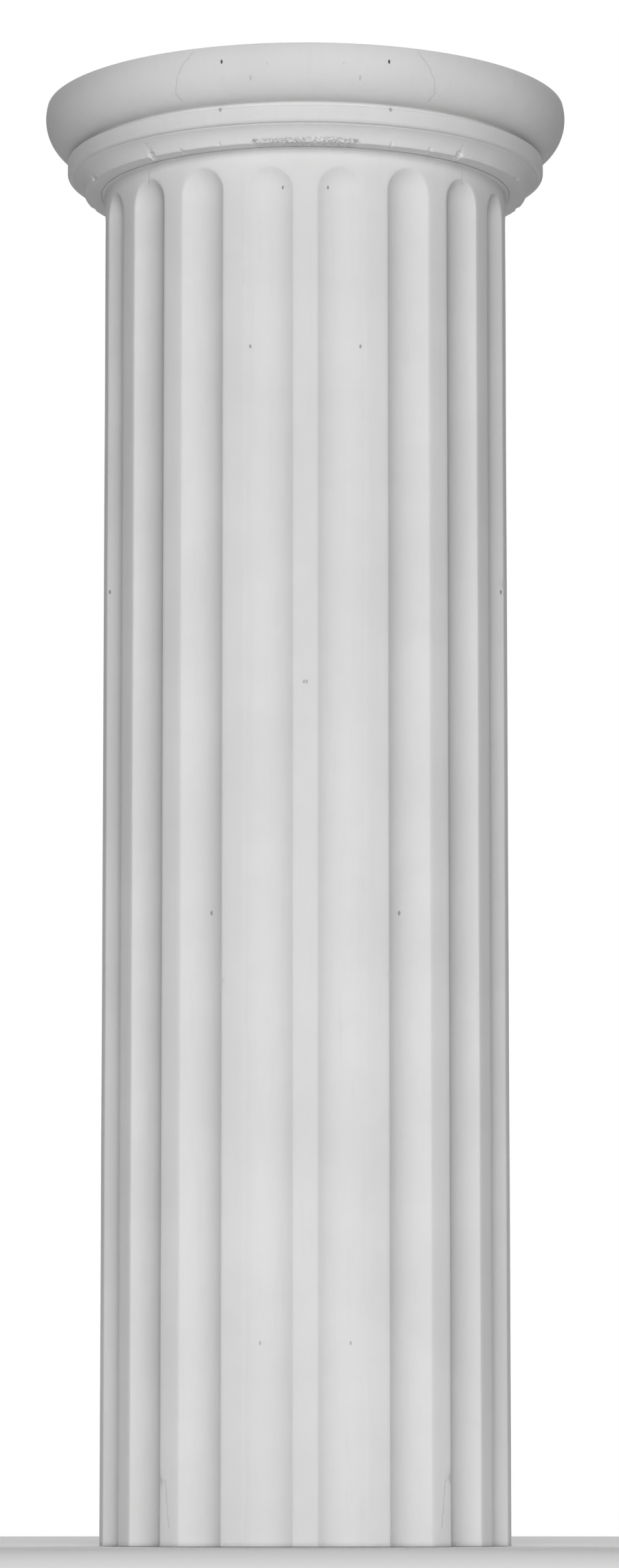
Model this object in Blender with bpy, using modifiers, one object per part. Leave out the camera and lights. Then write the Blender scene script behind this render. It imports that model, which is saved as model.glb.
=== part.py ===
# A round fluted column of cast plaster: a fluted shaft cut off flat at its foot,
# and a round moulded capital that is set on it.
# Metres, +Z up. The column stands on Z = 0 and its axis is the Z axis.
# A fillet, not a flute, faces the front, which is -Y.

import math

import bpy

# Shaft
FOOT_RADIUS = 0.1500
NECK_RADIUS = 0.1490
SHAFT_HEIGHT = 0.9962
APOPHYGE_REACH = 0.0026      # the small cove that spreads the shaft under the capital
APOPHYGE_HEIGHT = 0.0018
FLUTE_COUNT = 18
FILLET_WIDTH = 0.0178        # the flat left between two flutes, measured at the foot
FLUTE_DEPTH = 0.0063         # measured at the foot, below a straight line from edge to edge
NECK_BAND_HEIGHT = 0.0096    # plain shaft between the flutes' round heads and the cove

# Capital, from its bed upwards. Each overhang is measured out from the member below.
BED_GAP = 0.0003
COLLAR_OVERHANG = 0.0150     # the collar's lower edge beyond the shaft's neck
COLLAR_HEIGHT = 0.0120
COLLAR_FOOT_LEAN = 12        # degrees by which the collar's hollow face leans out, going up
COLLAR_HEAD_LEAN = 62
SOFFIT_COVE = 0.0006         # the soft inner corner between the collar and the band
BAND_OVERHANG = 0.00405
BAND_HEIGHT = 0.0123
BAND_ROUND = 0.0032          # the band's worn lower edge
QUIRK_DEPTH = 0.0064         # the narrow sunk line between the band and the torus
QUIRK_HEIGHT = 0.0036
TORUS_OVERHANG = 0.0163
TORUS_HALF_DEPTH = 0.0270    # the half axes of the torus's oval section
TORUS_HALF_HEIGHT = 0.0286
TOP_ABOVE_TORUS = 0.0092     # the flat top above the torus's widest line
TOP_ROUND = 0.0014

# Facets
SHAFT_STEPS_PER_FLUTE = 8
CAPITAL_STEPS = 96
CUTTER_STEPS = 40
TORUS_STEPS = 12
ROUND_STEPS = 4
SMOOTH_LIMIT = math.radians(28)
MERGE_DISTANCE = 0.00002
CUTTER_OVERRUN = 0.0100      # how far a cutter reaches below the foot

PLASTER_COLOUR = (0.83, 0.83, 0.82, 1.0)
PLASTER_ROUGHNESS = 0.85

FLUTE_PITCH = 2 * math.pi / FLUTE_COUNT
CAPITAL_BED = SHAFT_HEIGHT + BED_GAP


def oval_arc(centre, half_axes, start, end, steps):
    """Points (radius, height) along an oval, by its angle below the horizontal in degrees."""
    points = []
    for step in range(steps + 1):
        angle = math.radians(start + (end - start) * step / steps)
        radius = centre[0] + half_axes[0] * math.cos(angle)
        points.append((radius, centre[1] - half_axes[1] * math.sin(angle)))
    return points


def shaft_profile():
    """Down the outside of the shaft: flat bed, cove, tapered side, flat foot."""
    bed_radius = NECK_RADIUS + APOPHYGE_REACH
    cove_centre = (bed_radius, SHAFT_HEIGHT - APOPHYGE_HEIGHT)
    half_axes = (APOPHYGE_REACH, APOPHYGE_HEIGHT)
    cove = oval_arc(cove_centre, half_axes, -90, -180, ROUND_STEPS)
    return [(0, SHAFT_HEIGHT)] + cove + [(FOOT_RADIUS, 0), (0, 0)]


def capital_profile():
    """Down the outside of the capital: flat top, torus, quirk, band, collar, flat bed."""
    foot_lean, head_lean = math.radians(COLLAR_FOOT_LEAN), math.radians(COLLAR_HEAD_LEAN)
    hollow = (COLLAR_HEIGHT - SOFFIT_COVE) / (math.sin(head_lean) - math.sin(foot_lean))
    collar_centre = (
        NECK_RADIUS + COLLAR_OVERHANG + hollow * math.cos(foot_lean),
        CAPITAL_BED - hollow * math.sin(foot_lean),
    )
    collar = oval_arc(
        collar_centre,
        (hollow, hollow),
        COLLAR_HEAD_LEAN - 180,
        COLLAR_FOOT_LEAN - 180,
        ROUND_STEPS,
    )
    collar_head = collar[0][0]
    band = collar_head + BAND_OVERHANG
    torus_middle = band + TORUS_OVERHANG - TORUS_HALF_DEPTH
    band_foot_height = CAPITAL_BED + COLLAR_HEIGHT
    band_head_height = band_foot_height + BAND_HEIGHT

    torus_end = math.acos((band - QUIRK_DEPTH - torus_middle) / TORUS_HALF_DEPTH)
    torus_height = band_head_height + QUIRK_HEIGHT + TORUS_HALF_HEIGHT * math.sin(torus_end)
    top = torus_height + TOP_ABOVE_TORUS
    torus_start = -math.asin((TOP_ABOVE_TORUS - TOP_ROUND) / TORUS_HALF_HEIGHT)
    torus = oval_arc(
        (torus_middle, torus_height),
        (TORUS_HALF_DEPTH, TORUS_HALF_HEIGHT),
        math.degrees(torus_start),
        math.degrees(torus_end),
        TORUS_STEPS,
    )
    edge_centre = (torus[0][0] - TOP_ROUND, top - TOP_ROUND)
    top_edge = oval_arc(edge_centre, (TOP_ROUND, TOP_ROUND), -90, 0, 2)
    quirk_floor = (band - QUIRK_DEPTH, band_head_height)
    round_centre = (band - BAND_ROUND, band_foot_height + BAND_ROUND)
    band_round = oval_arc(round_centre, (BAND_ROUND, BAND_ROUND), 0, 90, ROUND_STEPS)
    cove_centre = (collar_head + SOFFIT_COVE, band_foot_height - SOFFIT_COVE)
    cove = oval_arc(cove_centre, (SOFFIT_COVE, SOFFIT_COVE), -90, -180, 2)

    points = [(0, top)] + top_edge[:-1] + torus + [quirk_floor, (band, band_head_height)]
    return points + band_round + cove[:-1] + collar + [(0, CAPITAL_BED)]


def flute_section(surface_radius):
    """The circle that cuts one flute, as (its radius, its centre's distance from the axis).

    The flute and fillet keep their shares of the turn, so both narrow with the shaft.
    """
    scale = surface_radius / FOOT_RADIUS
    fillet_angle = 2 * math.asin(FILLET_WIDTH / 2 / FOOT_RADIUS)
    half_angle = (FLUTE_PITCH - fillet_angle) / 2
    half_chord = FOOT_RADIUS * math.sin(half_angle)
    radius = (half_chord ** 2 + FLUTE_DEPTH ** 2) / (2 * FLUTE_DEPTH)
    centre = FOOT_RADIUS * math.cos(half_angle) + radius - FLUTE_DEPTH
    return radius * scale, centre * scale, half_chord * scale


def turned(name, profile, steps):
    """An object turned about Z from a profile in the XZ plane, with smooth round faces."""
    mesh = bpy.data.meshes.new(name)
    points = [(radius, 0, height) for radius, height in profile]
    edges = [(i, i + 1) for i in range(len(points) - 1)]
    mesh.from_pydata(points, edges, [])
    piece = bpy.data.objects.new(name, mesh)
    bpy.context.scene.collection.objects.link(piece)
    screw = piece.modifiers.new("turn", "SCREW")
    screw.axis = "Z"
    screw.angle = 2 * math.pi
    screw.steps = steps
    screw.render_steps = steps
    screw.use_merge_vertices = True
    screw.merge_threshold = MERGE_DISTANCE
    settle(piece)
    return piece


def settle(piece):
    """Gives the piece its modifiers' result as its own mesh, smooth but for its real edges."""
    bpy.context.view_layer.update()
    graph = bpy.context.evaluated_depsgraph_get()
    mesh = bpy.data.meshes.new_from_object(piece.evaluated_get(graph))
    old_mesh = piece.data
    piece.modifiers.clear()
    piece.data = mesh
    bpy.data.meshes.remove(old_mesh)
    mesh.name = piece.name
    mesh.shade_smooth()
    mesh.set_sharp_from_angle(angle=SMOOTH_LIMIT)


def move_to(piece, collection):
    """Leaves the piece in that collection alone."""
    for owner in list(piece.users_collection):
        owner.objects.unlink(piece)
    collection.objects.link(piece)


def plaster():
    """Matt white plaster."""
    material = bpy.data.materials.new("plaster")
    material.use_nodes = True
    shader = material.node_tree.nodes["Principled BSDF"]
    shader.inputs["Base Color"].default_value = PLASTER_COLOUR
    shader.inputs["Roughness"].default_value = PLASTER_ROUGHNESS
    shader.inputs["Metallic"].default_value = 0.0
    return material


def flute_cutters(collection):
    """One long cutter for each flute: a leaning round bar with a ball for its head."""
    head_height = SHAFT_HEIGHT - APOPHYGE_HEIGHT - NECK_BAND_HEIGHT
    head_radius = NECK_RADIUS
    spring_height = head_height - flute_section(head_radius)[2]
    bar_head, centre_head, _ = flute_section(head_radius)
    bar_foot, centre_foot, _ = flute_section(FOOT_RADIUS)
    length = spring_height + CUTTER_OVERRUN
    lean = math.atan2(centre_foot - centre_head, spring_height)

    ball = oval_arc((0, 0), (bar_head, bar_head), -90, 0, CUTTER_STEPS // 4)
    ball[0] = (0, bar_head)
    bar = turned("flute_cutter", ball + [(bar_foot, -length), (0, -length)], CUTTER_STEPS)
    for number in range(FLUTE_COUNT):
        turn = (number + 0.5) * FLUTE_PITCH
        cutter = bpy.data.objects.new(f"flute_cutter_{number + 1:02d}", bar.data)
        cutter.location = (
            centre_head * math.sin(turn),
            -centre_head * math.cos(turn),
            spring_height,
        )
        cutter.rotation_euler = (0, -lean, turn - math.pi / 2)
        cutter.hide_render = True
        cutter.display_type = "WIRE"
        collection.objects.link(cutter)
    bpy.data.objects.remove(bar)


def make_shaft(parts, cutters):
    """The turned shaft with its flutes cut away."""
    shaft = turned("shaft", shaft_profile(), SHAFT_STEPS_PER_FLUTE * FLUTE_COUNT)
    flute_cutters(cutters)
    cut = shaft.modifiers.new("flutes", "BOOLEAN")
    cut.operation = "DIFFERENCE"
    cut.operand_type = "COLLECTION"
    cut.collection = cutters
    cut.solver = "EXACT"
    settle(shaft)
    move_to(shaft, parts)
    return shaft


def make_capital(parts):
    """The turned capital."""
    capital = turned("capital", capital_profile(), CAPITAL_STEPS)
    move_to(capital, parts)
    return capital


def main():
    for old in list(bpy.data.objects):
        bpy.data.objects.remove(old)
    parts = bpy.data.collections.new("fluted_column")
    cutters = bpy.data.collections.new("cutters")
    for collection in (parts, cutters):
        bpy.context.scene.collection.children.link(collection)

    finish = plaster()
    for piece in (make_shaft(parts, cutters), make_capital(parts)):
        piece.data.materials.clear()
        piece.data.materials.append(finish)


main()
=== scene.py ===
import math

import bpy
import numpy as np
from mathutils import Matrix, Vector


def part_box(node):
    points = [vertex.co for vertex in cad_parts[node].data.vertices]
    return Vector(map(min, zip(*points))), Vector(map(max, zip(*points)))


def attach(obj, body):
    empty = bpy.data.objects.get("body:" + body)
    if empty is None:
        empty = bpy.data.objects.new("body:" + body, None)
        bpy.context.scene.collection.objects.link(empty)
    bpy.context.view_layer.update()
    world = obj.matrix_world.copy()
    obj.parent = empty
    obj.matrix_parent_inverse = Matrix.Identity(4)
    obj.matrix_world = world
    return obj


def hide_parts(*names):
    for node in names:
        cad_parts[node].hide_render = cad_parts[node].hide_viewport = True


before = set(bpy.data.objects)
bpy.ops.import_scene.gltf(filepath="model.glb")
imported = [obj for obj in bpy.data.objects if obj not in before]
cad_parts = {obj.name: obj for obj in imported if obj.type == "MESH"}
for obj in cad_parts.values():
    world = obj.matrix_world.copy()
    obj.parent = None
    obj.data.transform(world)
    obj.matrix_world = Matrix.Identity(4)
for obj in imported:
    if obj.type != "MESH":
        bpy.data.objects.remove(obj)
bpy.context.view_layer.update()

_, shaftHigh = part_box("shaft")
capitalLow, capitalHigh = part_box("capital")
randomSeed = 18
chance = np.random.default_rng(randomSeed)


# Everything turns about the Z axis. A turn is measured from the front, -Y, and grows towards +X.

def around(radii, turns, heights):
    # Point = (radius * sin turn, -radius * cos turn, height), for whole arrays
    radii, turns, heights = np.broadcast_arrays(radii, turns, heights)
    return np.stack((radii * np.sin(turns), -radii * np.cos(turns), heights), axis=-1)


def ovalArc(centre, halfAxes, start, end, steps):
    # Points (radius, height) = centre + (a cos t, -b sin t), t being degrees below the horizontal
    t = np.radians(np.linspace(start, end, steps + 1))
    radii = centre[0] + halfAxes[0] * np.cos(t)
    heights = centre[1] - halfAxes[1] * np.sin(t)
    return np.stack((radii, heights), axis=-1)


def straight(start, end, steps, crowd=1.0):
    # Points start + s^crowd * (end - start), so that a crowd above 1 packs them near the start
    s = np.linspace(0, 1, steps + 1)[:, None] ** crowd
    return np.array(start) + s * (np.array(end) - np.array(start))


def flatRings(radius, shares, height):
    # Points (radius * share, height), the rings of a flat face
    return np.stack((radius * np.array(shares), np.full(len(shares), height)), axis=-1)


def carriedRound(profile, columns):
    # The profile's radii and its heights, each repeated in every column round the axis
    return np.repeat(profile.T[:, :, None], columns, axis=2)


def ripple(turns, knots):
    # A ragged wave from 0 to 1 round the column: random heights at even knots, joined by (1 - cos) / 2
    heights = chance.random(knots)
    place = np.mod(turns / (2 * math.pi), 1.0) * knots
    index = np.floor(place).astype(int)
    ease = (1 - np.cos(math.pi * (place - index))) / 2
    return heights[index % knots] * (1 - ease) + heights[(index + 1) % knots] * ease


wobblePlan = {
    "wavesRound": (2, 3, 5, 7, 11),
    "radiansUp": (8, 40),      # a wave's radians for each metre up, at least and at most
    "shift": 6.28,             # the most that a wave is shifted, in radians
}


def handWobble(plan, turns, heights, size):
    # The mean of five long sine waves round and up the column, size * sin(k turn + m height + p)
    total = np.zeros(np.broadcast(turns, heights).shape)
    for k in plan["wavesRound"]:
        m = chance.uniform(*plan["radiansUp"])
        p = chance.uniform(0, plan["shift"])
        total += np.sin(k * turns + m * heights + p)
    return size * total / len(plan["wavesRound"])


def closedSkin(name, grid):
    # Rows run from the top's middle, down the outside, to the underside's middle, and columns run
    # round the axis. Quads join (row, column) to its neighbours below and beside it, and the first
    # and last rows fan to a point on the axis.
    rows, columns = grid.shape[:2]
    ids = np.arange(rows * columns).reshape(rows, columns)
    beside = np.roll(ids, -1, axis=1)
    quads = np.stack((ids[:-1], ids[1:], beside[1:], beside[:-1]), axis=-1).reshape(-1, 4)
    topPole = rows * columns
    footPole = topPole + 1
    topFan = np.stack((np.full(columns, topPole), ids[0], beside[0]), axis=-1)
    footFan = np.stack((np.full(columns, footPole), beside[-1], ids[-1]), axis=-1)
    poles = [[0, 0, grid[0, 0, 2]], [0, 0, grid[-1, 0, 2]]]
    points = np.vstack((grid.reshape(-1, 3), poles))
    corners = np.concatenate((quads.ravel(), topFan.ravel(), footFan.ravel()))
    sizes = np.concatenate((np.full(len(quads), 4), np.full(2 * columns, 3)))
    mesh = bpy.data.meshes.new(name)
    mesh.vertices.add(len(points))
    mesh.vertices.foreach_set("co", points.ravel())
    mesh.loops.add(len(corners))
    mesh.loops.foreach_set("vertex_index", corners.astype(np.int32))
    mesh.polygons.add(len(sizes))
    mesh.polygons.foreach_set("loop_start", (np.cumsum(sizes) - sizes).astype(np.int32))
    mesh.update(calc_edges=True)
    mesh.validate()
    mesh.shade_smooth()
    piece = bpy.data.objects.new(name, mesh)
    bpy.context.scene.collection.objects.link(piece)
    return piece


shaftPlan = {
    "footRadius": 0.1500,
    "neckRadius": 0.1490,
    "coveHeight": 0.0018,
    "coveAngles": (-176, -90),         # degrees, from just above the shaft's side up to its bed
    "fluteCount": 18,
    "filletWidth": 0.0178,
    "fluteDepth": 0.0063,
    "neckBand": 0.0096,
    "edgeWear": 0.00030,               # how far a flute's edge is worn round
    "wobble": 0.00010,
    "frontDrop": 0.0028,               # how much lower the heads of the two front flutes stand
    # Nicks on flute edges: the edge, its height, its half length and its depth. Fillet n, counted
    # from the front, has 2 n as its far edge and 2 n + 1 as its near one, with a minus on the left.
    "nicks": (
        (4, 0.048, 0.0030, 0.0012), (-4, 0.046, 0.0030, 0.0012), (5, 0.012, 0.0050, 0.0008),
        (2, 0.402, 0.0020, 0.0006), (-2, 0.398, 0.0020, 0.0006), (9, 0.700, 0.0030, 0.0008),
        (-11, 0.310, 0.0040, 0.0009), (14, 0.120, 0.0050, 0.0011), (-16, 0.560, 0.0030, 0.0008),
    ),
    "nickWidth": 0.6,                  # a nick's half width, as a share of its half length
    "nickRows": (-1.5, -0.75, 0, 0.75, 1.5),       # rows through a nick, in its half lengths
    "rowStep": 0.0080,
    "headZone": 0.0300,                # the length below a head whose rows bend into its arch
    "levelAgain": 0.0040,              # the height above the heads where rows are level again
    "archRows": 17,
    "archCrowd": 1.5,                  # above 1, rows stand closer near the arch
    "overArchRows": 6,
    "flutePoints": 21,
    "filletPoints": 8,                 # the two ends among them lie on the flutes
    "coveSteps": 6,
    "bedRings": (0.97, 0.8, 0.5, 0.2),             # as shares of the bed's radius
    "footRings": (0.2, 0.5, 0.8, 0.93, 0.985),     # as shares of the foot's outline
}


def fluteSection(plan):
    # The circle that hollows a flute: its radius q and its centre's distance c from the axis, with
    # the half turn and half chord of the flute's mouth:
    # q = (chord^2 + depth^2) / (2 depth), c = R cos(half turn) + q - depth
    radius = plan["footRadius"]
    filletTurn = 2 * math.asin(plan["filletWidth"] / 2 / radius)
    halfTurn = (2 * math.pi / plan["fluteCount"] - filletTurn) / 2
    halfChord = radius * math.sin(halfTurn)
    q = (halfChord ** 2 + plan["fluteDepth"] ** 2) / (2 * plan["fluteDepth"])
    return q, radius * math.cos(halfTurn) + q - plan["fluteDepth"], halfTurn, halfChord


def makeShaft(plan):
    # Radius = the softened lesser of the plain shaft R and the flute's near wall w, which is
    # (R + w) / 2 - sqrt(((R - w) / 2)^2 + wear^2), with w = c cos d - sqrt(q^2 - h^2 - c^2 sin^2 d).
    # d is the turn from the flute's middle and h the height above the line where its round head
    # springs. q and c shrink with the taper.
    q, c, halfTurn, halfChord = fluteSection(plan)
    pitch = 2 * math.pi / plan["fluteCount"]
    inFlute = halfTurn * np.sin(np.radians(np.linspace(-90, 90, plan["flutePoints"])))
    acrossFillet = np.linspace(0, math.pi, plan["filletPoints"])[1:-1]
    onFillet = pitch / 2 - (pitch / 2 - halfTurn) * np.cos(acrossFillet)
    sector = np.concatenate((inFlute, onFillet))
    flutes = np.arange(plan["fluteCount"])
    fromMiddle = np.tile(np.minimum(np.abs(sector), pitch - np.abs(sector)), len(flutes))
    middles = (flutes + 0.5) * pitch
    turns = (middles[:, None] + sector).ravel()

    # Rows from the foot upwards: level, then bending into the heads' arches, then level again
    bed = shaftHigh.z
    coveStart = bed - plan["coveHeight"]
    headTop = coveStart - plan["neckBand"]
    neck = plan["neckRadius"]
    taper = neck / plan["footRadius"]
    frontPair = np.repeat(np.isin(flutes, (0, len(flutes) - 1)), len(sector))
    spring = headTop - halfChord * taper - plan["frontDrop"] * frontPair
    headFoot = spring.min() - plan["headZone"]
    nickRows = [up + half * s for _, up, half, _ in plan["nicks"] for s in plan["nickRows"]]
    levels = np.unique(np.concatenate((np.arange(0, headFoot, plan["rowStep"]), nickRows)))
    archSquare = (q ** 2 - c ** 2) * taper ** 2 - neck ** 2
    archSquare = archSquare + 2 * c * taper * neck * np.cos(fromMiddle)
    arch = spring + np.sqrt(np.maximum(archSquare, 0)) * (fromMiddle < halfTurn)
    intoArch = 1 - (1 - np.linspace(0, 1, plan["archRows"])) ** plan["archCrowd"]
    overArch = np.linspace(0, 1, plan["overArchRows"])[1:]
    heights = np.vstack((
        np.repeat(levels[:, None], len(turns), axis=1),
        headFoot + intoArch[:, None] * (arch - headFoot),
        arch + overArch[:, None] * (headTop + plan["levelAgain"] - arch),
    ))

    surface = plan["footRadius"] + (neck - plan["footRadius"]) * np.minimum(heights / coveStart, 1)
    scale = surface / plan["footRadius"]
    above = np.maximum(heights - spring, 0)
    under = (q * scale) ** 2 - above ** 2 - (c * scale * np.sin(fromMiddle)) ** 2
    wall = c * scale * np.cos(fromMiddle) - np.sqrt(np.maximum(under, 0))
    wall = np.where(under > 0, wall, surface + q)
    radii = (surface + wall) / 2 - np.sqrt(((surface - wall) / 2) ** 2 + plan["edgeWear"] ** 2)
    radii += handWobble(wobblePlan, turns, heights, plan["wobble"]) - plan["wobble"]
    for edge, up, half, depth in plan["nicks"]:
        # A nick takes off depth * exp(-(distance / half length)^2) round a point on an edge
        filletMiddle, side = (abs(edge) // 2) * pitch, (-1) ** (abs(edge) % 2)
        edgeTurn = math.copysign(filletMiddle + (pitch / 2 - halfTurn) * side, edge)
        across = plan["footRadius"] * np.angle(np.exp(1j * (turns - edgeTurn)))
        acrossShare, upShare = across / (plan["nickWidth"] * half), (heights - up) / half
        radii -= depth * np.exp(-acrossShare ** 2 - upShare ** 2)

    # The cove under the bed, a quarter oval, and flat rings that close the bed and the foot
    coveAxes = (shaftHigh.x - neck, plan["coveHeight"])
    cove = ovalArc((shaftHigh.x, coveStart), coveAxes, *plan["coveAngles"], plan["coveSteps"])
    over = np.vstack((cove, flatRings(shaftHigh.x, plan["bedRings"], bed)))
    overRadii, overHeights = carriedRound(over, len(turns))
    footRadii = radii[0] * np.array(plan["footRings"])[:, None]
    allRadii = np.vstack((footRadii, radii, overRadii))
    allHeights = np.vstack((np.zeros_like(footRadii), heights, overHeights))
    return closedSkin("shaft_plaster", around(allRadii, turns, allHeights)[::-1])


capitalPlan = {
    "collarFoot": 0.1640,              # the radius of the sharp lower arris
    "collarHeight": 0.0120,
    "collarLeans": (12, 62),           # degrees that the hollow face leans out, at foot and head
    "soffitCove": 0.0006,
    "bandOverhang": 0.00405,
    "bandHeight": 0.0123,
    "bandRound": 0.0032,               # the band's round lower edge
    "bandHeadRound": 0.0015,           # the band's worn upper edge
    "quirkDepth": 0.0064,
    "torusHalfDepth": 0.0270,
    "torusHalfHeight": 0.0286,
    "topAboveTorus": 0.0092,
    "topRound": 0.0014,
    "wobble": 0.00010,
    "wobbleFrom": 0.8,                 # the share of the radius beyond which the surface wobbles
    # The lower arris: its wear, and how much of it is even, coarse and fine
    "arrisWear": 0.00020,
    "wearShares": (0.4, 1.0, 0.8),
    "wearKnots": (220, 700),
    # Chips on the lower arris, each with its twin on the other side: turn and half width in
    # degrees, and depth
    "chips": (
        (13.2, 1.0, 0.0018), (11.0, 0.8, 0.0008), (8.3, 1.3, 0.0010), (5.6, 1.4, 0.0012),
        (3.0, 1.2, 0.0009), (22.1, 0.5, 0.0017), (33.2, 0.7, 0.0015), (42.6, 1.2, 0.0022),
        (71.0, 1.6, 0.0012), (104.0, 1.8, 0.0014), (139.0, 1.1, 0.0012), (163.0, 2.2, 0.0013),
    ),
    "chipShares": (0.25, 0.45, 0.5),   # how much of a chip's depth is even, coarse and fine
    "chipKnots": (300, 1100),
    "chipEnds": 2.2,                   # how steeply a chip deepens from its two ends
    "chipReach": 0.8,                  # the share of the collar's height that chips may reach
    "grainShare": 0.3,                 # the depth of a chip's grain, as a share of its own
    "grainUp": 6e3,                    # the grain's radians for each metre up
    "grainDrift": 9,                   # how many waves the coarse ripple moves the grain by
    # Crumbs of plaster under the collar, each with its twin: turn in degrees, distance from the
    # axis, size and drop
    "crumbs": (
        (43.2, 0.1595, 0.0018, 0.0024), (34.0, 0.1575, 0.0013, 0.0016),
        (21.8, 0.1600, 0.0009, 0.0008),
    ),
    "crumbMargin": 0.0005,             # the plain rim left on the bed, inside and outside
    "flatTolerance": 1e-5,             # how near to a flat face's height its own points are
    "columns": 960,
    "frontCrowding": 0.60,             # how much closer the columns stand at the front
    "collarSteps": 18,
    "torusSteps": 34,
    "flatSteps": 3,
    "edgeSteps": 4,
    "bandHeadSteps": 6,
    "bandRoundSteps": 9,
    "undersideSteps": 9,
    "undersideCrowd": 1.3,
    "undersideEnd": 0.0020,            # how far outside the shaft's bed the close rings end
    "topRings": (0.15, 0.45, 0.75, 0.93),
    "bedRings": (0.98, 0.7, 0.4, 0.15),
}


def capitalProfile(plan):
    # Down the outside: flat top, torus, quirk, band with a worn upper and a round lower edge,
    # soffit, cove, hollow collar, flat bed. The collar is an arc about a point outside it, of
    # radius r = (height - cove) / (sin head lean - sin foot lean). The top stays at the CAD's
    # height, so the quirk is as high as what the torus leaves above the band.
    top, bed = capitalHigh.z, capitalLow.z
    footLean, headLean = plan["collarLeans"]
    cove, topRound, worn = plan["soffitCove"], plan["topRound"], plan["bandHeadRound"]
    footSine, headSine = math.sin(math.radians(footLean)), math.sin(math.radians(headLean))
    hollow = (plan["collarHeight"] - cove) / (headSine - footSine)
    hollowMiddle = (
        plan["collarFoot"] + hollow * math.cos(math.radians(footLean)),
        bed - hollow * footSine,
    )
    collarAngles = (headLean - 180, footLean - 180)
    collar = ovalArc(hollowMiddle, (hollow, hollow), *collarAngles, plan["collarSteps"])
    collarHead = collar[0, 0]
    band = collarHead + plan["bandOverhang"]
    soffit = bed + plan["collarHeight"]
    bandHead = soffit + plan["bandHeight"]
    quirk = band - plan["quirkDepth"]

    torusMiddle = (capitalHigh.x - plan["torusHalfDepth"], top - plan["topAboveTorus"])
    torusAxes = (plan["torusHalfDepth"], plan["torusHalfHeight"])
    torusStart = math.degrees(math.asin((plan["topAboveTorus"] - topRound) / torusAxes[1]))
    torusEnd = math.degrees(math.acos((quirk - torusMiddle[0]) / torusAxes[0]))
    torus = ovalArc(torusMiddle, torusAxes, -torusStart, torusEnd, plan["torusSteps"])
    rimMiddle = (torus[0, 0] - topRound, top - topRound)
    rim = ovalArc(rimMiddle, (topRound, topRound), -90, 0, plan["edgeSteps"])
    rings = flatRings(rim[0, 0], plan["topRings"], top)

    quirkFloor = straight((quirk, bandHead), (band - worn, bandHead), plan["flatSteps"])
    bandEdge = ovalArc((band - worn, bandHead - worn), (worn, worn), -90, 0, plan["bandHeadSteps"])
    bandFoot = soffit + plan["bandRound"]
    bandFace = straight((band, bandHead - worn), (band, bandFoot), plan["flatSteps"])
    roundAxes = (plan["bandRound"], plan["bandRound"])
    bandRound = ovalArc((band - roundAxes[0], bandFoot), roundAxes, 0, 90, plan["bandRoundSteps"])
    cornerMiddle = (collarHead + cove, soffit - cove)
    corner = ovalArc(cornerMiddle, (cove, cove), -90, -180, plan["edgeSteps"])
    closeEnd = (shaftHigh.x + plan["undersideEnd"], bed)
    undersideSpacing = (plan["undersideSteps"], plan["undersideCrowd"])
    underside = straight((plan["collarFoot"], bed), closeEnd, *undersideSpacing)
    hidden = flatRings(shaftHigh.x, plan["bedRings"], bed)
    return np.vstack((
        rings, rim, torus[1:], quirkFloor, bandEdge[1:], bandFace[1:], bandRound[1:], corner,
        collar[1:], underside[1:], hidden,
    ))


def makeCapital(plan):
    # Columns stand at turn = u - crowding * sin u, so they are closest at the front. A chip slices
    # the lower arris along a plane that leans 45 degrees, at the chip's depth, with n pointing out
    # and down: point -= n * max(0, (point - arris) . n + depth)
    profile = capitalProfile(plan)
    u = np.arange(plan["columns"]) * 2 * math.pi / plan["columns"]
    turns = u - plan["frontCrowding"] * np.sin(u)
    radii, heights = carriedRound(profile, len(turns))
    onTop = heights >= capitalHigh.z - plan["flatTolerance"]
    onBed = heights < capitalLow.z + plan["flatTolerance"]
    outside = (radii > capitalHigh.x * plan["wobbleFrom"]) & ~onBed & ~onTop
    radii += outside * (handWobble(wobblePlan, turns, heights, plan["wobble"]) - plan["wobble"])

    aside = np.abs(np.degrees(np.angle(np.exp(1j * turns))))
    pastShaft = radii > shaftHigh.x + plan["crumbMargin"]
    hanging = onBed & pastShaft & (radii < plan["collarFoot"] - plan["crumbMargin"])
    for degrees, out, size, drop in plan["crumbs"]:
        # A crumb hangs down by drop * exp(-(distance / size)^2)
        awaySquare = (plan["collarFoot"] * np.radians(aside - degrees)) ** 2 + (radii - out) ** 2
        heights -= hanging * drop * np.exp(-awaySquare / size ** 2)

    even, coarser, finer = plan["wearShares"]
    coarse, fine = [ripple(turns, knots) for knots in plan["wearKnots"]]
    depth = plan["arrisWear"] * (even + coarser * coarse + finer * fine)
    even, coarser, finer = plan["chipShares"]
    coarse, fine = [ripple(turns, knots) for knots in plan["chipKnots"]]
    for degrees, half, most in plan["chips"]:
        window = np.clip(plan["chipEnds"] * (1 - np.abs(aside - degrees) / half), 0, 1)
        depth += most * window * (even + coarser * coarse + finer * fine)
    n = math.sqrt(0.5)
    arris = (radii - plan["collarFoot"]) * n - (heights - capitalLow.z) * n
    waves = plan["grainUp"] * heights + plan["grainDrift"] * coarse * 2 * math.pi
    grain = plan["grainShare"] * depth * np.sin(waves)
    nearArris = heights < capitalLow.z + plan["collarHeight"] * plan["chipReach"]
    cut = np.maximum(0, arris + depth + grain) * nearArris * (radii > shaftHigh.x)
    return closedSkin("capital_plaster", around(radii - n * cut, turns, heights + n * cut))


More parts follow.
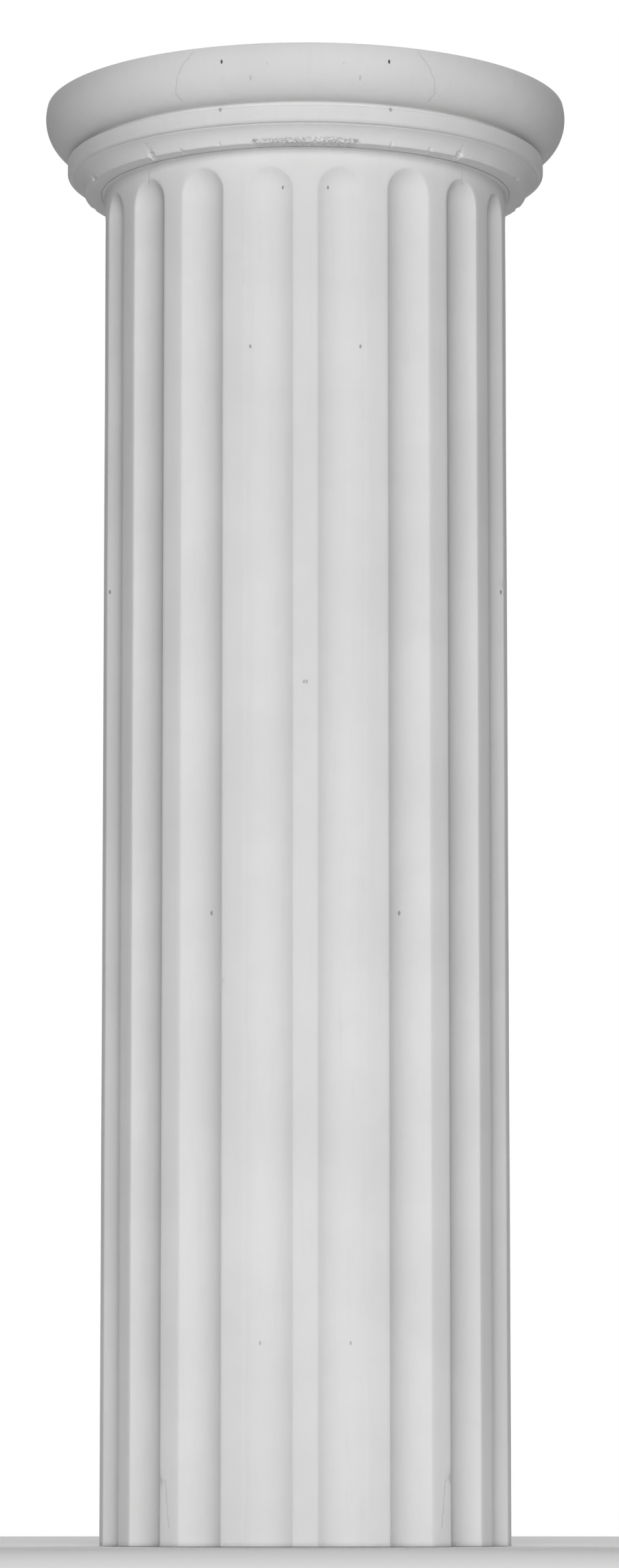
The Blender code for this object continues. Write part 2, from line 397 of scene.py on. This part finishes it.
class Wire:
    # Wraps an output socket, so that sums on it add Math nodes
    def __init__(self, desk, socket):
        self.desk, self.socket = desk, socket

    def maths(self, operation, *values):
        return self.desk.node("ShaderNodeMath", {"operation": operation}, values)

    def __add__(self, other):
        return self.maths("ADD", self, other)

    def __radd__(self, other):
        return self.maths("ADD", other, self)

    def __sub__(self, other):
        return self.maths("SUBTRACT", self, other)

    def __rsub__(self, other):
        return self.maths("SUBTRACT", other, self)

    def __mul__(self, other):
        return self.maths("MULTIPLY", self, other)

    def __rmul__(self, other):
        return self.maths("MULTIPLY", other, self)

    def __truediv__(self, other):
        return self.maths("DIVIDE", self, other)

    def __pow__(self, other):
        return self.maths("POWER", self, other)

    def __abs__(self):
        return self.maths("ABSOLUTE", self)

    def above(self, limit):
        return self.maths("GREATER_THAN", self, limit)

    def larger(self, other):
        return self.maths("MAXIMUM", self, other)

    def smaller(self, other):
        return self.maths("MINIMUM", self, other)

    def ramp(self, start, end, low=0.0, high=1.0):
        # low below start, high above end, with a smooth S between
        values = {"Value": self, "From Min": start, "From Max": end, "To Min": low, "To Max": high}
        return self.desk.node("ShaderNodeMapRange", {"interpolation_type": "SMOOTHSTEP"}, values)


class Desk:
    # Builds one material's nodes
    def __init__(self, name):
        self.material = bpy.data.materials.new(name)
        self.material.use_nodes = True
        self.tree = self.material.node_tree
        self.shader = self.tree.nodes["Principled BSDF"]

    def node(self, kind, settings, values, output=0):
        made = self.tree.nodes.new(kind)
        for key, setting in settings.items():
            setattr(made, key, setting)
        pairs = values.items() if isinstance(values, dict) else enumerate(values)
        for key, value in pairs:
            self.feed(made.inputs[key], value)
        return Wire(self, made.outputs[output])

    def feed(self, entry, value):
        if isinstance(value, Wire):
            self.tree.links.new(value.socket, entry)
        else:
            entry.default_value = value

    def place(self):
        # The point on the piece as vector, x, y and z, in metres
        spot = self.node("ShaderNodeTexCoord", {}, {}, "Object")
        axes = [self.node("ShaderNodeSeparateXYZ", {}, [spot], axis) for axis in "XYZ"]
        return [spot] + axes

    def stretched(self, spot, across, up):
        # The point with its width and depth times across and its height times up
        factors = (across, across, up)
        return self.node("ShaderNodeVectorMath", {"operation": "MULTIPLY"}, [spot, factors])

    def noise(self, spot, scale, detail, rough):
        values = {"Vector": spot, "Scale": scale, "Detail": detail, "Roughness": rough}
        return self.node("ShaderNodeTexNoise", {}, values)

    def blend(self, factor, first, second):
        colours = {0: factor, 6: first, 7: second}
        return self.node("ShaderNodeMix", {"data_type": "RGBA"}, colours, 2)

    def relief(self, height, distance):
        values = {"Height": height, "Distance": distance, "Strength": 1.0}
        return self.node("ShaderNodeBump", {}, values)


plasterPlan = {
    "tone": (0.800, 0.800, 0.798, 1.0),
    "greyer": (0.735, 0.735, 0.733, 1.0),
    "paler": (0.850, 0.850, 0.848, 1.0),
    # The near-black painted shade inside the pinholes
    "paintedHoleShade": (0.060, 0.060, 0.060, 1.0),
    "crackTone": (0.520, 0.520, 0.518, 1.0),
    "evenness": 0.62,                  # how far the even tone covers the clouds
    "roughness": 0.86,
    "roughnessRange": 0.2,
    "specular": 0.25,
    # Noises: scale, detail and roughness
    "cloudNoise": (9.0, 4.0, 0.6),
    "strokeNoise": (220.0, 3.0, 0.6),
    "grainNoise": (1400.0, 2.0, 0.6),
    "speckleNoise": (420.0, 3.0, 0.7),
    "swellNoise": (160.0, 3.0, 0.6),
    "wanderNoise": (330.0, 2.0, 0.55),
    "flakeNoise": (480.0, 2.0, 0.6),
    "strokeUp": 0.06,                  # below 1 the strokes are long, up and down
    "flakeUp": 3.0,                    # above 1 the flakes lie flat
    # Ramps: where the noise starts and ends, and the strengths there
    "cloudRamp": (0.35, 0.70),
    "strokeRamp": (0.52, 0.80, 0.0, 0.35),
    "speckleRamp": (0.66, 0.78, 0.0, 0.30),
    "flakeRamp": (0.52, 0.60),
    # Relief: one unit's depth, and the units of each layer
    "reliefDepth": 0.00012,
    "grainRelief": 0.5,
    "strokeRelief": 0.8,
    "swellRelief": 0.9,
    "crackRelief": 1.2,
    "flakeRelief": 4,
    "holeRelief": 8,
    # Marks: the parts of a radius or half width from which they fade and where they end
    "holeFade": (0.7, 1.5),
    "holeUp": 0.5,                     # below 1 the holes are higher than wide
    "crackFade": (0.4, 1.6),
    "crackHalfWidth": 0.00030,
    "crackWander": 0.0022,
    "crackStrength": 0.35,
    "flakeFade": 0.75,                 # the part of the flakes' reach from which they fade
    "flakeStrength": 0.32,
}


def spots(plan, across, up, marks):
    # The greatest of smooth ovals, twice as high as wide: for each mark, its strength inside its
    # radius and 0 well past it
    total = None
    inner, outer = plan["holeFade"]
    for side, height, radius, strength in marks:
        away = ((across - side) ** 2 + ((up - height) * plan["holeUp"]) ** 2) ** 0.5
        disc = away.ramp(radius * inner, radius * outer, strength, 0.0)
        total = disc if total is None else total.larger(disc)
    return total


def crack(desk, plan, across, up, line):
    # Nearness to a bent line: for each stretch a to b, the distance to
    # a + clamp((p - a).(b - a) / |b - a|^2) (b - a)
    nearest = None
    for (ax, az), (bx, bz) in zip(line, line[1:]):
        dx, dz = bx - ax, bz - az
        along = ((across - ax) * dx + (up - az) * dz) / (dx * dx + dz * dz)
        along = desk.node("ShaderNodeClamp", {}, [along])
        away = ((across - ax - along * dx) ** 2 + (up - az - along * dz) ** 2) ** 0.5
        nearest = away if nearest is None else nearest.smaller(away)
    inner, outer = (plan["crackHalfWidth"] * part for part in plan["crackFade"])
    return nearest.ramp(inner, outer, 1.0, 0.0)


def plaster(name, plan, marks):
    # Matt plaster: cloudy tone, fine grain, faint brush strokes up and down, and marks at their
    # measured places on the front half
    # The pinholes are pits in the relief, and their near-black colour is painted shade inside them.
    desk = Desk(name)
    spot, x, y, z = desk.place()
    cloud = desk.noise(spot, *plan["cloudNoise"])
    strokes = desk.noise(desk.stretched(spot, 1.0, plan["strokeUp"]), *plan["strokeNoise"])
    grain = desk.noise(spot, *plan["grainNoise"])
    speckle = desk.noise(spot, *plan["speckleNoise"])
    swell = desk.noise(spot, *plan["swellNoise"])
    sides, front = abs(x), (0 - y).above(0)
    tone = desk.blend(cloud.ramp(*plan["cloudRamp"]), plan["greyer"], plan["paler"])
    tone = desk.blend(plan["evenness"], tone, plan["tone"])
    tone = desk.blend(strokes.ramp(*plan["strokeRamp"]), tone, plan["greyer"])
    tone = desk.blend(speckle.ramp(*plan["speckleRamp"]), tone, plan["greyer"])
    height = plan["grainRelief"] * grain + plan["strokeRelief"] * strokes
    height = height + plan["swellRelief"] * swell
    wander = (desk.noise(spot, *plan["wanderNoise"]) - 0.5) * plan["crackWander"]
    for line in marks["lines"]:
        crackMask = crack(desk, plan, sides + wander, z, line) * front
        tone = desk.blend(crackMask * plan["crackStrength"], tone, plan["crackTone"])
        height = height - crackMask * plan["crackRelief"]
    if "flakes" in marks:
        reach, low, high = marks["flakes"]
        zone = sides.ramp(plan["flakeFade"] * reach, reach, 1.0, 0.0)
        zone = zone * z.ramp(low, high, 1.0, 0.0) * front
        flakes = desk.noise(desk.stretched(spot, 1.0, plan["flakeUp"]), *plan["flakeNoise"])
        flakes = flakes.ramp(*plan["flakeRamp"]) * zone
        tone = desk.blend(flakes * plan["flakeStrength"], tone, plan["crackTone"])
        height = height - flakes * plan["flakeRelief"]
    # Pinholes: pits in the relief, darkened to near black by painted shade
    holePitAndShade = spots(plan, sides, z, marks["holes"]) * front
    tone = desk.blend(holePitAndShade, tone, plan["paintedHoleShade"])
    height = height - holePitAndShade * plan["holeRelief"]
    roughness = plan["roughness"] + (speckle - 0.5) * plan["roughnessRange"]
    desk.feed(desk.shader.inputs["Base Color"], tone)
    desk.feed(desk.shader.inputs["Roughness"], roughness)
    desk.feed(desk.shader.inputs["Normal"], desk.relief(height, plan["reliefDepth"]))
    desk.shader.inputs["Specular IOR Level"].default_value = plan["specular"]
    return desk.material


# Marks on the front, each with its twin on the other side. A hole has its distance from the
# middle, height, radius and strength, a line its points (distance, height), and the flakes how far
# they reach and between which heights they fade out.
# A hole's strength sets both its depth and the darkness of the painted shade inside it.
shaftMarks = {
    "holes": (
        (0.0163, 0.9684, 0.0005, 0.60), (0.0393, 0.8530, 0.0006, 0.50),
        (0.1432, 0.6930, 0.0007, 0.50), (0.0010, 0.6097, 0.0006, 0.35),
        (0.0668, 0.4470, 0.0007, 0.50), (0.0318, 0.1420, 0.0006, 0.35),
    ),
    "lines": (((0.1137, 0.9935), (0.1139, 0.9827)), ((0.0990, 0.0467), (0.0964, 0.0129))),
}
capitalMarks = {
    "holes": (
        (0.0597, 1.0498, 0.0006, 0.95), (0.0610, 1.0203, 0.0010, 0.45),
        (0.0391, 1.0376, 0.0008, 0.18), (0.0274, 1.0467, 0.0005, 0.12),
        (0.0350, 0.9986, 0.0003, 0.30), (0.0362, 0.9982, 0.0004, 0.40),
        (0.0375, 0.9987, 0.0003, 0.35),
    ),
    "lines": (
        ((0.0800, 1.0595), (0.0880, 1.0503), (0.0922, 1.0412), (0.0929, 1.0330), (0.0883, 1.0278)),
    ),
    "flakes": (0.0400, 0.9985, 1.0010),
}
shaftPlaster = plaster("shaft_plaster", plasterPlan, shaftMarks)
capitalPlaster = plaster("capital_plaster", plasterPlan, capitalMarks)

shaft = makeShaft(shaftPlan)
shaft.data.materials.append(shaftPlaster)
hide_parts("shaft")
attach(shaft, "root")
print("shaft:", len(shaft.data.polygons), "faces")

capital = makeCapital(capitalPlan)
capital.data.materials.append(capitalPlaster)
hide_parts("capital")
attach(capital, "root")
print("capital:", len(capital.data.polygons), "faces")


studioPlan = {
    # Softboxes: turn from the front in degrees, distance, height, width and power. The last two
    # light the back, and the one before them stands high behind and lights the floor and the top.
    "softboxes": (
        (0.0, 3.9, 1.10, 1.0, 41.0),
        (0.0, 6.2, 2.50, 1.6, 98.0),
        (30.0, 6.2, 2.40, 1.8, 19.0),
        (-30.0, 6.2, 2.40, 1.8, 19.0),
        (25.0, 6.2, 0.60, 1.8, 17.0),
        (-25.0, 6.2, 0.60, 1.8, 17.0),
        (180.0, 1.4, 3.60, 2.0, 38.0),
        (150.0, 5.0, 2.60, 2.0, 50.0),
        (-150.0, 5.0, 2.60, 2.0, 50.0),
    ),
    "aimHeight": 0.55,
    "surround": (1.0, 1.0, 1.0, 1.0),
    "surroundStrength": 0.045,         # as light on the column
    "paleStrength": 1.0,               # as the camera sees it
    "floorTone": (0.92, 0.92, 0.918, 1.0),
    "floorShade": 0.98,                # the darker tone of its clouds, as a share of floorTone
    "floorNoise": (3.0, 3.0, 0.55),
    "floorRoughness": 0.9,
    "floorRadius": 1.85,
    "floorCorners": 96,
    "floorDrop": 0.0003,
}


def makeSoftbox(name, plan, turn, distance, height, width, power):
    lamp = bpy.data.lights.new(name, "AREA")
    lamp.shape = "SQUARE"
    lamp.size = width
    lamp.energy = power
    softbox = bpy.data.objects.new(name, lamp)
    softbox.location = (distance * math.sin(turn), -distance * math.cos(turn), height)
    downward = math.atan2(height - plan["aimHeight"], distance)
    softbox.rotation_euler = (math.pi / 2 - downward, 0, turn)
    softbox.visible_camera = False
    bpy.context.scene.collection.objects.link(softbox)


def makeFloor(plan):
    # A flat disc whose corners stand on a circle, and past its rim the pale surround shows
    mesh = bpy.data.meshes.new("floor")
    count = plan["floorCorners"]
    turns = np.arange(count) * 2 * math.pi / count
    corners = around(plan["floorRadius"], turns, -plan["floorDrop"])
    mesh.from_pydata(corners.tolist(), [], [tuple(range(count))])
    floor = bpy.data.objects.new("floor", mesh)
    bpy.context.scene.collection.objects.link(floor)
    desk = Desk("pale_floor")
    cloud = desk.noise(desk.place()[0], *plan["floorNoise"])
    shaded = [plan["floorShade"] * part for part in plan["floorTone"]]
    desk.feed(desk.shader.inputs["Base Color"], desk.blend(cloud, plan["floorTone"], shaded))
    desk.shader.inputs["Roughness"].default_value = plan["floorRoughness"]
    mesh.materials.append(desk.material)


def makeStudio(plan):
    for number, (degrees, *rest) in enumerate(plan["softboxes"]):
        makeSoftbox(f"softbox_{number + 1}", plan, math.radians(degrees), *rest)

    # The surround is pale to the camera and gives the column only a little light
    world = bpy.data.worlds.new("studio")
    world.use_nodes = True
    nodes, links = world.node_tree.nodes, world.node_tree.links
    faint, pale = nodes["Background"], nodes.new("ShaderNodeBackground")
    for background, strength in ((faint, "surroundStrength"), (pale, "paleStrength")):
        background.inputs["Color"].default_value = plan["surround"]
        background.inputs["Strength"].default_value = plan[strength]
    seen = nodes.new("ShaderNodeLightPath")
    either = nodes.new("ShaderNodeMixShader")
    links.new(seen.outputs["Is Camera Ray"], either.inputs[0])
    links.new(faint.outputs[0], either.inputs[1])
    links.new(pale.outputs[0], either.inputs[2])
    links.new(either.outputs[0], nodes["World Output"].inputs["Surface"])
    bpy.context.scene.world = world
    bpy.context.scene.view_settings.view_transform = "Standard"
    makeFloor(plan)


# The camera stands where the photograph's shapes put it and looks up. Its picture is shifted, so
# that the column's axis and the camera's sight line fall where they do in the photograph.
photo = {"width": 900, "height": 2278, "axisColumn": 444, "sightRow": 1363, "focalPixels": 7975}
cameraPlan = {
    "distance": 4.000,
    "eyeHeight": 0.022,
    "tiltUp": 6.0,
    "sensor": 36.0,
    "clip": (0.05, 100.0),
}


def makeCamera(plan, picture):
    data = bpy.data.cameras.new("camera")
    data.sensor_width = plan["sensor"]
    data.lens = picture["focalPixels"] * data.sensor_width / picture["height"]
    data.shift_x = (picture["width"] / 2 - picture["axisColumn"]) / picture["height"]
    data.shift_y = (picture["sightRow"] - picture["height"] / 2) / picture["height"]
    data.clip_start, data.clip_end = plan["clip"]
    camera = bpy.data.objects.new("camera", data)
    camera.location = (0, -plan["distance"], plan["eyeHeight"])
    camera.rotation_euler = (math.radians(90 + plan["tiltUp"]), 0, 0)
    bpy.context.scene.collection.objects.link(camera)
    bpy.context.scene.camera = camera


makeStudio(studioPlan)
makeCamera(cameraPlan, photo)
print("studio and camera are set")
